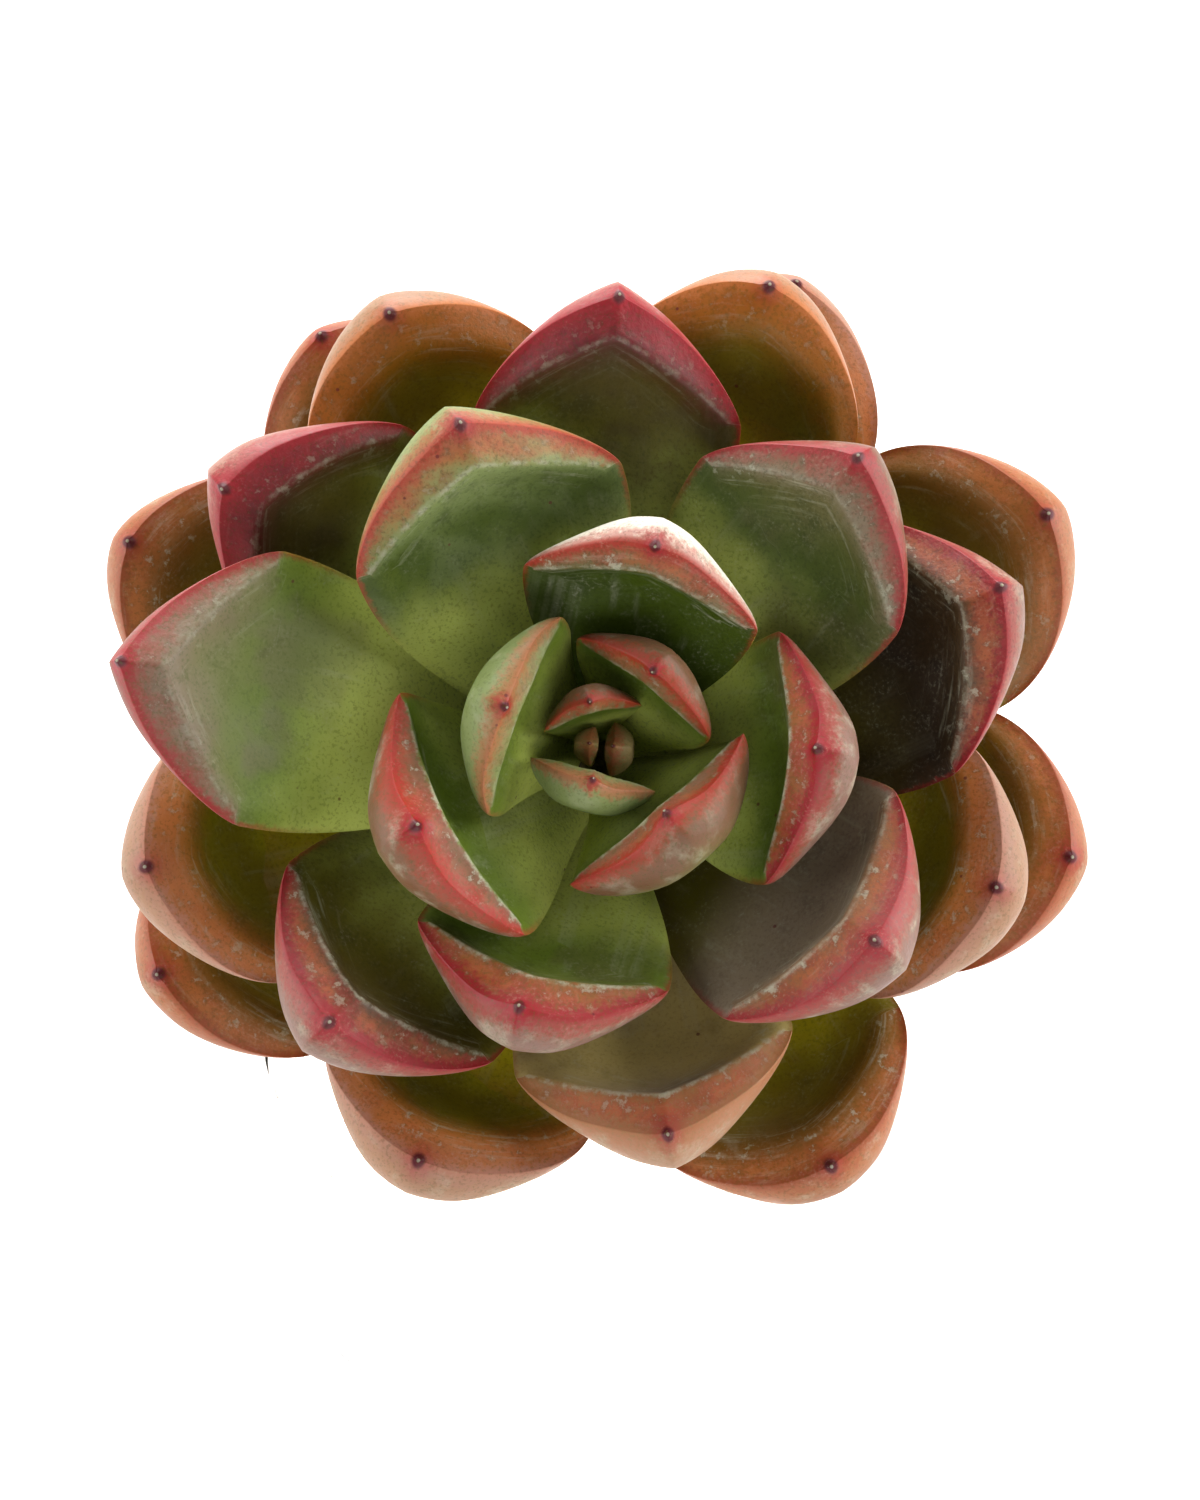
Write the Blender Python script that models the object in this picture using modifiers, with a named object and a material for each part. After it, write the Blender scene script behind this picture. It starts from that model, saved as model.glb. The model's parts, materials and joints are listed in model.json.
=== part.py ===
# A potted echeveria: a leaning rosette of thick leaves on a short stem, rooted in a white
# glazed bowl that holds potting soil under a pale grit dressing.
#
# Metres, +Z up. The origin is the middle of the pot's foot, on the surface it stands on.
# The rosette leans towards -Y.

import math

import bmesh
import bpy
from mathutils import Matrix, Vector

# Pot
POT_DIAMETER = 0.080          # across the band under the rim
POT_HEIGHT = 0.039
POT_WALL = 0.0040
POT_FLOOR = 0.0045
BAND_HEIGHT = 0.0055          # the thicker band under the rim
BAND_STAND_OUT = 0.0010
RIM_ROUNDING = 0.0016
POT_CORNER = 0.0120           # radius of the rounded bottom edge, outside
FOOT_SET_IN = 0.0015          # from the edge of the flat bottom to the foot
FOOT_HEIGHT = 0.0015
DRAIN_COUNT = 4
DRAIN_DIAMETER = 0.0060
DRAIN_RING_DIAMETER = 0.0300  # circle that the drain holes sit on
TURNED_SIDES = 40
DRAIN_SIDES = 16
SHARP_ANGLE = math.radians(40)

# Filling
SOIL_BELOW_RIM = 0.0110
GRIT_DEPTH = 0.0035
GRIT_UNEVENNESS = 0.0005
GRIT_RIPPLES = (0.0031, 0.0043)  # length scales of the unevenness, across and along
GRIT_RINGS = (0.10, 0.22, 0.30)  # rings of faces from the wall inwards, of the radius
CLEARANCE = 0.0003            # between pieces that rest on or in each other

# Stem
STEM_DIAMETER = 0.0095
STEM_ROOT_DEPTH = 0.0080      # how far the stem goes into the soil
STEM_ROOT_BEHIND = 0.0130     # where it leaves the soil, behind the pot's middle
STEM_TIP_SHARE = 0.15         # its diameter at the tip, of the full diameter
STEM_REACH = 0.45             # of its bend at either end, of the distance it spans
STEM_BEND_STEPS = 9
STEM_CROWN_STEPS = 8

# Rosette
LEAF_LENGTH = 0.0560          # of a full-grown leaf, and so are the next two
LEAF_WIDTH = 0.0300
LEAF_THICKNESS = 0.0090
FACET_WIDTH = 0.0030          # of the facet that slopes from the upper face to the tip's margin
HOLLOW_DEPTH = 0.0016         # of the upper face's hollow behind the facet
FIRST_LEAF_BELOW_TIP = 0.0120
RIM_GAP = 0.0010              # from the lowest leaf to the level of the pot's rim
TIP_ASIDE = 0.0035            # growing tip to the right of the pot's middle
TIP_IN_FRONT = 0.0040         # growing tip in front of the pot's middle
LEAN = math.radians(34)       # rosette axis from upright
GOLDEN_ANGLE = math.radians(137.5)
FIRST_TURN = math.radians(180)
SPACING_RATE = 13704          # from one leaf's seat to the next one's, by the section squared, in 1/m3

# Leaf form, as shares of the leaf's own length, width or thickness
WIDEST_AT = 0.72
BASE_WIDTH = 0.32
TAPER_POWER = 1.35            # how late the wedge widens
BASE_THICKNESS = 0.27
THICKEST_AT = 0.66
THICKENING_POWER = 1.4
BASE_ROUNDING = 0.05
UPPER_SHARE = 0.38            # of the thickness, above the margin
SHOULDER_WIDTH = 0.035        # of the rounding along the sides
HOLLOW_AT = 0.70
HOLLOW_SPREAD = 0.17
HOLLOW_START = 0.90           # where the hollow starts, of the facet
HOLLOW_EDGE = 0.12            # from the facet to the full hollow
FACET_FADES = (0.90, 1.05)    # where the facet turns into the shoulder, of the run to the widest place
BACK_ROUNDING_TIP = 0.15
BACK_ROUNDING_SIDE = 0.40
BACK_ROUNDING_CHANGES = (0.25, 1.15)  # where the one turns into the other, of the same run
BACK_FULLNESS = 1.15
CUP = 0.11                    # rise of the margins, of the width
CUP_FULL_AT = 0.80
CUP_POWER = 1.5
CURL_POWER = 4                # the curl comes near the leaf's end
SWAY_POWER = 3
LEAF_SIDES = 16
LEAF_RINGS = 12
MARGIN_STEPS = 80
END_CROWDING = 0.55           # of the rings towards the leaf's two ends
SIDE_SPREAD = 0.80            # of the corners across the leaf
BEND_STEPS = 24
TOUCHING = 1e-6               # smaller than this counts as nothing

# Each leaf, innermost first: turn away from the golden angle, rise from the rosette's plane,
# curl of the end towards the viewer and sway to one side, in degrees; then length, width and
# thickness in percent of the full-grown leaf.
LEAVES = (
    (-6, 86, 9, 0, 18, 14, 28),
    (37, 86, 22, 0, 19, 19, 32),
    (10, 78, 20, 0, 30, 35, 34),
    (22, 76, 35, 5, 31, 45, 46),
    (42, 61, 52, 0, 38, 58, 51),
    (12, 62, 54, 6, 47, 73, 62),
    (26, 56, 79, 0, 46, 80, 78),
    (12, 49, 47, -2, 60, 84, 71),
    (8, 45, 58, -4, 60, 95, 89),
    (18, 39, 68, 5, 59, 89, 84),
    (3, 38, 31, -12, 80, 101, 100),
    (3, 33, 62, -7, 67, 91, 93),
    (14, 32, 35, 12, 84, 93, 91),
    (3, 31, 14, 2, 100, 97, 100),
    (18, 31, 59, 2, 79, 100, 100),
    (7, 27, 35, -7, 94, 95, 92),
    (5, 27, 58, 4, 86, 100, 100),
    (21, 26, 39, 11, 90, 100, 100),
    (4, 23, 51, 24, 96, 97, 100),
    (8, 22, 58, -2, 82, 100, 100),
    (20, 20, 40, 0, 100, 97, 99),
    (7, 20, 48, 0, 95, 100, 100),
    (16, 20, 59, 0, 87, 100, 100),
    (13, 17, 54, 0, 100, 100, 97),
    (6, 16, 65, 0, 91, 103, 100),
    (11, 15, 51, 0, 102, 103, 100),
    (0, 11, 50, 0, 102, 100, 99),
    (7, 14, 57, 0, 93, 103, 100),
    (-2, 8, 40, 0, 101, 100, 100),
    (-2, 11, 50, 0, 95, 100, 100),
    (4, 11, 48, 0, 93, 100, 100),
    (0, 6, 42, 0, 100, 100, 100),
)
YOUNG_LEAVES = 10             # from the middle outwards, then the grown ones, then the old ones
GROWN_LEAVES = 20
TIP_ROUNDNESS = {"young": 1.4, "grown": 1.5, "old": 2.0}
TIP_POINTEDNESS = {"young": 0.85, "grown": 0.85, "old": 0.64}
SIDE_FULLNESS = {"young": 2.2, "grown": 2.6, "old": 4.0}
BEVEL_ROUNDING = {"young": 0.16, "grown": 0.20, "old": 1.0}  # of the facet, where the face turns down

# Sizes that follow from the ones above
POT_RADIUS = POT_DIAMETER / 2
BODY_RADIUS = POT_RADIUS - BAND_STAND_OUT
INNER_RADIUS = BODY_RADIUS - POT_WALL
INNER_CORNER = POT_CORNER - POT_WALL
SOIL_TOP = POT_HEIGHT - SOIL_BELOW_RIM
GRIT_BOTTOM = SOIL_TOP + CLEARANCE
STEM_RADIUS = STEM_DIAMETER / 2
STEM_TIP_RADIUS = STEM_RADIUS * STEM_TIP_SHARE
LEAF_SECTION = LEAF_WIDTH * LEAF_THICKNESS
LEAF_SPACING = SPACING_RATE * LEAF_SECTION ** 2  # stout leaves sit further apart
LAST_LEAF_BELOW_TIP = FIRST_LEAF_BELOW_TIP + LEAF_SPACING * (len(LEAVES) - 1)


def clear_scene():
    for thing in list(bpy.data.objects):
        bpy.data.objects.remove(thing, do_unlink=True)


def new_collection(name):
    collection = bpy.data.collections.new(name)
    bpy.context.scene.collection.children.link(collection)
    return collection


def material(name, colour, roughness):
    made = bpy.data.materials.new(name)
    made.use_nodes = True
    shader = made.node_tree.nodes["Principled BSDF"]
    shader.inputs["Base Color"].default_value = (*colour, 1.0)
    shader.inputs["Roughness"].default_value = roughness
    shader.inputs["Metallic"].default_value = 0.0
    return made


def add_object(name, data, collection, finish=None):
    thing = bpy.data.objects.new(name, data)
    collection.objects.link(thing)
    if finish:
        data.materials.append(finish)
    return thing


def mesh_from(name, bm):
    mesh = bpy.data.meshes.new(name)
    bm.to_mesh(mesh)
    bm.free()
    mesh.shade_smooth()
    mesh.set_sharp_from_angle(angle=SHARP_ANGLE)
    return mesh


# Turned pieces


def arc(centre, radius, start, end, steps=6):
    """Points of an arc in the profile's plane; angles in degrees, 0 pointing outwards."""
    points = []
    for step in range(steps + 1):
        angle = math.radians(start + (end - start) * step / steps)
        points.append((centre[0] + radius * math.cos(angle), centre[1] + radius * math.sin(angle)))
    return points


def turned(name, profile, collection, finish):
    """A profile of (radius, height) points, turned about Z. It ends on the axis, going down
    on its outer side."""
    bm = bmesh.new()
    verts = [bm.verts.new((radius, 0, height)) for radius, height in profile]
    for first, second in zip(verts, verts[1:]):
        bm.edges.new((first, second))
    thing = add_object(name, mesh_from(name, bm), collection, finish)
    screw = thing.modifiers.new("Turn", "SCREW")
    screw.axis = "Z"
    screw.angle = math.tau
    screw.steps = TURNED_SIDES
    screw.render_steps = TURNED_SIDES
    screw.use_merge_vertices = True
    screw.merge_threshold = 0.00001
    screw.use_smooth_shade = True
    return thing


def inner_wall(gap):
    """The pot's inside from the wall down to the floor's edge, set in by a gap."""
    centre = (INNER_RADIUS - INNER_CORNER, POT_FLOOR + INNER_CORNER)
    return arc(centre, INNER_CORNER - gap, 0, -90)


def build_pot(collection, cutters, finish):
    band_bottom = POT_HEIGHT - BAND_HEIGHT
    corner = POT_CORNER - FOOT_HEIGHT
    foot_radius = BODY_RADIUS - corner - FOOT_SET_IN
    inside = list(reversed(inner_wall(0)))
    inner_rim = arc((INNER_RADIUS + RIM_ROUNDING, POT_HEIGHT - RIM_ROUNDING), RIM_ROUNDING, 180, 90, 3)
    outer_rim = arc((POT_RADIUS - RIM_ROUNDING, POT_HEIGHT - RIM_ROUNDING), RIM_ROUNDING, 90, 0, 3)
    band_edge = [(POT_RADIUS, band_bottom + BAND_STAND_OUT), (BODY_RADIUS, band_bottom)]
    bottom_edge = arc((BODY_RADIUS - corner, POT_CORNER), corner, 0, -90)
    foot = [(foot_radius, FOOT_HEIGHT), (foot_radius, 0)]
    profile = [(0, POT_FLOOR)] + inside + inner_rim + outer_rim + band_edge + bottom_edge + foot + [(0, 0)]
    pot = turned("pot", profile, collection, finish)
    for number in range(DRAIN_COUNT):
        bpy.ops.mesh.primitive_cylinder_add(vertices=DRAIN_SIDES, radius=DRAIN_DIAMETER / 2,
                                            depth=POT_FLOOR * 3)
        drill = bpy.context.object
        drill.name = f"drain_cutter_{number + 1}"
        angle = math.tau * (number + 0.5) / DRAIN_COUNT
        drill.location = Matrix.Rotation(angle, 3, "Z") @ Vector((DRAIN_RING_DIAMETER / 2, 0, 0))
        as_cutter(drill, cutters)
        cut(pot, drill)
    return pot


def as_cutter(thing, cutters):
    for collection in list(thing.users_collection):
        collection.objects.unlink(thing)
    cutters.objects.link(thing)
    thing.hide_render = True
    thing.display_type = "WIRE"


def cut(thing, cutter):
    boolean = thing.modifiers.new("Cut " + cutter.name, "BOOLEAN")
    boolean.operation = "DIFFERENCE"
    boolean.solver = "EXACT"
    boolean.object = cutter


def build_soil(collection, finish):
    radius = INNER_RADIUS - CLEARANCE
    profile = [(0, SOIL_TOP), (radius, SOIL_TOP)] + inner_wall(CLEARANCE) + [(0, POT_FLOOR + CLEARANCE)]
    return turned("soil", profile, collection, finish)


def build_grit(collection, finish):
    """The dressing: a thin disc whose top is slightly uneven."""
    radius = INNER_RADIUS - CLEARANCE
    bm = bmesh.new()
    bmesh.ops.create_cone(bm, cap_ends=True, segments=TURNED_SIDES, radius1=radius, radius2=radius,
                          depth=GRIT_DEPTH)
    bmesh.ops.translate(bm, verts=bm.verts, vec=(0, 0, GRIT_BOTTOM + GRIT_DEPTH / 2))
    top = [face for face in bm.faces if face.normal.z > 0.5 and len(face.verts) > 4]
    for ring_width in GRIT_RINGS:
        bmesh.ops.inset_region(bm, faces=top, thickness=radius * ring_width, use_even_offset=True)
    edge = radius * (1 - GRIT_RINGS[0] / 2)
    for vert in bm.verts:
        if vert.co.z > GRIT_BOTTOM + GRIT_DEPTH / 2 and vert.co.xy.length < edge:
            ripple = math.sin(vert.co.x / GRIT_RIPPLES[0]) * math.cos(vert.co.y / GRIT_RIPPLES[1])
            vert.co.z += GRIT_UNEVENNESS * (ripple - 1)
    return add_object("grit", mesh_from("grit", bm), collection, finish)


# Stem


def stem_radius_at(below_tip):
    """The stem thickens from its tip to the last leaf."""
    grown = (below_tip - FIRST_LEAF_BELOW_TIP) / (LAST_LEAF_BELOW_TIP - FIRST_LEAF_BELOW_TIP)
    return STEM_TIP_RADIUS + (STEM_RADIUS - STEM_TIP_RADIUS) * math.sqrt(min(max(grown, 0), 1))


def stem_route(frame):
    """(point, radius) from the root to the growing tip: up out of the soil, then along the
    rosette's axis."""
    crown = frame @ Vector((0, 0, -LAST_LEAF_BELOW_TIP - LEAF_SPACING))
    along = frame.to_3x3() @ Vector((0, 0, 1))
    root = Vector((TIP_ASIDE, STEM_ROOT_BEHIND, SOIL_TOP - STEM_ROOT_DEPTH))
    reach = (crown - root).length * STEM_REACH
    up_from_root = root + Vector((0, 0, 1)) * reach
    back_from_crown = crown - along * reach
    route = []
    for step in range(STEM_BEND_STEPS):
        t = step / STEM_BEND_STEPS
        point = (root * (1 - t) ** 3 + up_from_root * 3 * t * (1 - t) ** 2
                 + back_from_crown * 3 * t * t * (1 - t) + crown * t ** 3)
        route.append((point, STEM_RADIUS))
    for step in range(STEM_CROWN_STEPS):
        below = LAST_LEAF_BELOW_TIP + LEAF_SPACING
        below += (FIRST_LEAF_BELOW_TIP - below) * step / (STEM_CROWN_STEPS - 1)
        route.append((frame @ Vector((0, 0, -below)), stem_radius_at(below) - CLEARANCE))
    return route


def tube(name, route, extra, collection, finish=None):
    """A solid tube along (point, radius) pairs, wider by extra, as a mesh."""
    curve = bpy.data.curves.new(name, "CURVE")
    curve.dimensions = "3D"
    curve.bevel_depth = 1.0
    curve.bevel_resolution = 2
    curve.use_fill_caps = True
    spline = curve.splines.new("POLY")
    spline.points.add(len(route) - 1)
    for point, (place, radius) in zip(spline.points, route):
        point.co = (*place, 1)
        point.radius = radius + extra
    spline.points[0].co.z -= extra
    source = bpy.data.objects.new(name + "_curve", curve)
    bpy.context.scene.collection.objects.link(source)
    evaluated = source.evaluated_get(bpy.context.evaluated_depsgraph_get())
    mesh = bpy.data.meshes.new_from_object(evaluated)
    mesh.name = name
    bm = bmesh.new()
    bm.from_mesh(mesh)
    bmesh.ops.remove_doubles(bm, verts=bm.verts, dist=0.00001)
    bm.to_mesh(mesh)
    bm.free()
    mesh.shade_smooth()
    mesh.set_sharp_from_angle(angle=SHARP_ANGLE)
    thing = add_object(name, mesh, collection, finish)
    thing.matrix_world = source.matrix_world
    bpy.data.objects.remove(source)
    return thing


# Leaves


def clamp(value):
    return min(max(value, 0), 1)


def ease(share, power):
    """Rises from 0 to 1 and levels out."""
    return math.sin(clamp(share) * math.pi / 2) ** power


def quarter_round(share):
    """Rises from 0 to 1 like a quarter of a circle."""
    return math.sqrt(1 - (1 - clamp(share)) ** 2)


def soft_step(value, start, end):
    share = clamp((value - start) / (end - start))
    return share * share * (3 - 2 * share)


def soft_min(first, second, blend):
    """The smaller of two values, with a rounded change between them."""
    mix = clamp(0.5 + 0.5 * (second - first) / blend)
    return second * (1 - mix) + first * mix - blend * mix * (1 - mix)


def side_width(share, width):
    """Half the wedge's width at a share of its length."""
    return width / 2 * (BASE_WIDTH + (1 - BASE_WIDTH) * ease(share / WIDEST_AT, TAPER_POWER))


def half_width(share, width, stage):
    """Half the leaf's width at a share of its length: wedge-shaped, then pointed."""
    past = clamp((share - WIDEST_AT) / (1 - WIDEST_AT))
    return side_width(share, width) * (1 - past ** TIP_ROUNDNESS[stage]) ** TIP_POINTEDNESS[stage]


def margin_line(length, width, stage):
    """(place, run from the tip) along one side's margin; runs are 1 at the widest place."""
    shares = [step / MARGIN_STEPS for step in range(MARGIN_STEPS, -1, -1)]
    places = [Vector((share * length, half_width(share, width, stage))) for share in shares]
    runs = [0]
    for first, second in zip(places, places[1:]):
        runs.append(runs[-1] + (second - first).length)
    widest = runs[min(range(len(shares)), key=lambda index: abs(shares[index] - WIDEST_AT))]
    return [(place, run / widest) for place, run in zip(places, runs)]


def nearest_margin(line, along, across):
    """Distance to the margin, and the run from the tip to the nearest place on it."""
    point = Vector((along, abs(across)))
    found = (1, 0)
    for (start, first), (end, second) in zip(line, line[1:]):
        side = end - start
        share = clamp((point - start).dot(side) / side.length_squared)
        found = min(found, ((point - start - side * share).length, first + (second - first) * share))
    return found


def leaf_height(share, across, upper, margin, run, width, thickness, stage):
    """Height of the leaf's surface over its margin's plane."""
    grown = BASE_THICKNESS + (1 - BASE_THICKNESS) * ease(share / THICKEST_AT, THICKENING_POWER)
    full = thickness * grown * quarter_round(share / BASE_ROUNDING)
    if not upper:
        sideways = soft_step(run, *BACK_ROUNDING_CHANGES)
        rounding = BACK_ROUNDING_TIP + (BACK_ROUNDING_SIDE - BACK_ROUNDING_TIP) * sideways
        return -(1 - UPPER_SHARE) * full * quarter_round(margin / (rounding * width)) ** BACK_FULLNESS
    size = width / LEAF_WIDTH
    outward = clamp(abs(across) / side_width(share, width))
    level = UPPER_SHARE * full * (1 - outward ** SIDE_FULLNESS[stage])
    facet = max(FACET_WIDTH * size * math.sqrt(max(1 - run ** 2, 0)), SHOULDER_WIDTH * width)
    slope = soft_min(1, margin / facet, BEVEL_ROUNDING[stage])
    rounded = quarter_round(margin / (SHOULDER_WIDTH * width))
    faceted = 1 - soft_step(run, *FACET_FADES)
    hollow = HOLLOW_DEPTH * size * math.exp(-((share - HOLLOW_AT) / HOLLOW_SPREAD) ** 2) * (1 - outward ** 2)
    hollow *= soft_step(margin, HOLLOW_START * facet, facet + HOLLOW_EDGE * width)
    return level * (slope * faceted + rounded * (1 - faceted)) - hollow


def bend(along, total, power, length):
    """Where a line of the given length, that turns by total radians towards its end, is at a
    distance along it, and which way it points there."""
    forward = aside = 0
    step = along / BEND_STEPS
    for number in range(BEND_STEPS):
        angle = total * ((number + 0.5) * step / length) ** power
        forward += math.cos(angle) * step
        aside += math.sin(angle) * step
    return forward, aside, total * (along / length) ** power


def leaf_mesh(name, rise, curl, sway, length, width, thickness, stage):
    """A leaf that grows along +X from the origin, its upper face towards +Z."""
    line = margin_line(length, width, stage)
    bm = bmesh.new()
    bmesh.ops.create_uvsphere(bm, u_segments=LEAF_SIDES, v_segments=LEAF_RINGS, radius=1)
    for vert in bm.verts:
        to_tip = 1 - math.acos(min(max(vert.co.z, -1), 1)) / math.pi
        crowded = 0.5 - 0.5 * math.cos(math.pi * to_tip)
        share = END_CROWDING * crowded + (1 - END_CROWDING) * to_tip
        around = math.atan2(vert.co.y, vert.co.x)
        side = math.copysign(abs(math.cos(around)) ** SIDE_SPREAD, math.cos(around))
        half = half_width(share, width, stage) * quarter_round(share / BASE_ROUNDING)
        across = half * side
        height = 0
        if half > TOUCHING and abs(math.sin(around)) > TOUCHING:
            margin, run = nearest_margin(line, share * length, across)
            height = leaf_height(share, across, vert.co.y > 0, margin, run, width, thickness, stage)
        height += CUP * width * ease(share / CUP_FULL_AT, CUP_POWER) * (2 * across / width) ** 2
        forward, aside, turned_by = bend(share * length, sway, SWAY_POWER, length)
        forward -= across * math.sin(turned_by)
        aside += across * math.cos(turned_by)
        out, up, curled = bend(max(forward, 0), curl, CURL_POWER, length)
        out -= height * math.sin(curled)
        up += height * math.cos(curled)
        vert.co = Matrix.Rotation(-rise, 3, "Y") @ Vector((out, aside, up))
    return mesh_from(name, bm)


def build_leaf(number, row, stage, rosette, collection, finish):
    """A leaf, placed on the stem by its number from the growing tip."""
    drift, rise, curl, sway = (math.radians(value) for value in row[:4])
    length, width, thickness = (share / 100 for share in row[4:])
    below_tip = FIRST_LEAF_BELOW_TIP + LEAF_SPACING * number
    name = f"leaf_{number + 1:02d}"
    mesh = leaf_mesh(name, rise, curl, sway, length * LEAF_LENGTH, width * LEAF_WIDTH,
                     thickness * LEAF_THICKNESS, stage)
    leaf = add_object(name, mesh, collection, finish)
    azimuth = FIRST_TURN + GOLDEN_ANGLE * number + drift
    foot = stem_radius_at(below_tip)
    leaf.parent = rosette
    leaf.rotation_euler = (0, 0, azimuth)
    leaf.location = (foot * math.cos(azimuth), foot * math.sin(azimuth), -below_tip)
    return leaf


def seat_rosette(rosette, leaves):
    """Raise the rosette until its lowest leaf clears the level of the pot's rim."""
    bpy.context.view_layer.update()
    lowest = min((leaf.matrix_world @ vert.co).z for leaf in leaves for vert in leaf.data.vertices)
    rosette.location.z = POT_HEIGHT + RIM_GAP - lowest
    bpy.context.view_layer.update()


def main():
    clear_scene()
    parts = new_collection("potted_succulent")
    cutters = new_collection("cutters")
    glaze = material("white_glaze", (0.86, 0.85, 0.83), 0.22)
    earth = material("potting_soil", (0.06, 0.04, 0.03), 0.95)
    stones = material("pale_grit", (0.72, 0.68, 0.62), 0.85)
    bark = material("stem_bark", (0.28, 0.20, 0.12), 0.80)
    leaf_finishes = {
        "young": material("young_leaf", (0.23, 0.34, 0.12), 0.50),
        "grown": material("grown_leaf", (0.22, 0.22, 0.10), 0.50),
        "old": material("old_leaf", (0.50, 0.24, 0.10), 0.50),
    }

    rosette = add_object("rosette_frame", None, parts)
    rosette.location = (TIP_ASIDE, -TIP_IN_FRONT, 0)
    rosette.rotation_euler = (LEAN, 0, 0)
    leaves = []
    for number, row in enumerate(LEAVES):
        stage = "young" if number < YOUNG_LEAVES else "grown" if number < GROWN_LEAVES else "old"
        leaves.append(build_leaf(number, row, stage, rosette, parts, leaf_finishes[stage]))
    seat_rosette(rosette, leaves)

    build_pot(parts, cutters, glaze)
    soil = build_soil(parts, earth)
    grit = build_grit(parts, stones)
    route = stem_route(rosette.matrix_world)
    tube("stem", route, 0, parts, bark)
    socket = tube("stem_cutter", route, CLEARANCE, parts)
    as_cutter(socket, cutters)
    cut(soil, socket)
    cut(grit, socket)


main()
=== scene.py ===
import json
import math
import random

import bmesh
import bpy
import numpy as np
from bpy.props import FloatProperty, FloatVectorProperty, IntProperty, PointerProperty
from bpy.types import Operator, Panel, PropertyGroup
from mathutils import Matrix, Vector, noise

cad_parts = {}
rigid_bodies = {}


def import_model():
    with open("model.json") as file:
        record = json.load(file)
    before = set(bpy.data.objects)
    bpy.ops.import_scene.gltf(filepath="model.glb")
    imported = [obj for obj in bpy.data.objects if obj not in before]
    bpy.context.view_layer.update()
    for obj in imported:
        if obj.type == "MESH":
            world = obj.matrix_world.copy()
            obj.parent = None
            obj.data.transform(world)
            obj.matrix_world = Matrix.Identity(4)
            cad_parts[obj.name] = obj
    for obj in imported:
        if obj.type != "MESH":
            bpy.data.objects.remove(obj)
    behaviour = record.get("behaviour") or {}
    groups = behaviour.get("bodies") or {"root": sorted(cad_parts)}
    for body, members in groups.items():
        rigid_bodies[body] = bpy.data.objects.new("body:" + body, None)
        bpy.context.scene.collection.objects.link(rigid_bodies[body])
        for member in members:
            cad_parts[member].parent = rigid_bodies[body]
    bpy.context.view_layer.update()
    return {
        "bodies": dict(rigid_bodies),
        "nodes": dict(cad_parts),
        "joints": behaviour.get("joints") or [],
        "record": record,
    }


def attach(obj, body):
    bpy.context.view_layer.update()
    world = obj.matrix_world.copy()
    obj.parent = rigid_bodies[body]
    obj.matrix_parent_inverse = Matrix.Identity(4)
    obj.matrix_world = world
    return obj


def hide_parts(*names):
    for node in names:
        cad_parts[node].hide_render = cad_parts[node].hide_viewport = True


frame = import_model()

bl_info = {
    "name": "Potted echeveria",
    "version": (1, 0, 0),
    "blender": (4, 5, 0),
    "location": "3D View > Sidebar > Echeveria",
    "description": "Leaves, stem, grit, soil and glazed bowl of a potted echeveria",
    "category": "Object",
}

BODY = "root"

# Rosette, as in the solids
LEAN = math.radians(34)
GOLDEN_ANGLE = math.radians(137.5)
FIRST_TURN = math.radians(180)
FIRST_LEAF_BELOW_TIP = 0.0120
LEAF_SPACING = 0.0010
STEM_RADIUS = 0.00475
STEM_TIP_RADIUS = 0.0007
GROWING_TIP = Vector((0.0035, -0.0040, 0.08913))

# Leaf, full-grown
LEAF_LENGTH = 0.0560
LEAF_WIDTH = 0.0300
LEAF_THICKNESS = 0.0090

# Leaf form, as shares
WIDEST_AT = 0.72
BASE_WIDTH = 0.32
TAPER_POWER = 1.35
BASE_THICKNESS = 0.27
THICKEST_AT = 0.66
THICKENING_POWER = 1.4
UPPER_SHARE = 0.38
HOLLOW = 0.0016  # in metres
BACK_ROUNDING_TIP = 0.15
BACK_ROUNDING_SIDE = 0.40
CUP = 0.110
BASE_ROUNDING = 0.05
CURL_POWER = 4
SWAY_POWER = 3
HOLLOW_AT, HOLLOW_SPREAD = 0.70, 0.17
CREST_SPREAD = 0.018
SHOULDER = 0.035
FACET_BLENDS_INTO_FACE = 0.12

# Leaf form, places along the margin: 0 at the tip, 1 at the widest place
FACET_FADES = 1.05, 0.90
FACET_ENDS = 1.02
BACK_ROUNDING_CHANGES = 1.15, 0.25

# Unevenness of a full-grown leaf's skin and margin, and the spread of its hard point
SKIN_WAVE = 0.00011
MARGIN_WAVE = 0.00035
WAVE_BAND = 0.004
POINT_SPREAD = 0.00052
TIP_BLUNTING = 0.0007

# Segments and rings of a leaf's mesh
SMALL_LEAVES = 5
SMALL_GRID = 48, 56
LEAF_GRID = 80, 96
MARGIN_STEPS = 260

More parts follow.
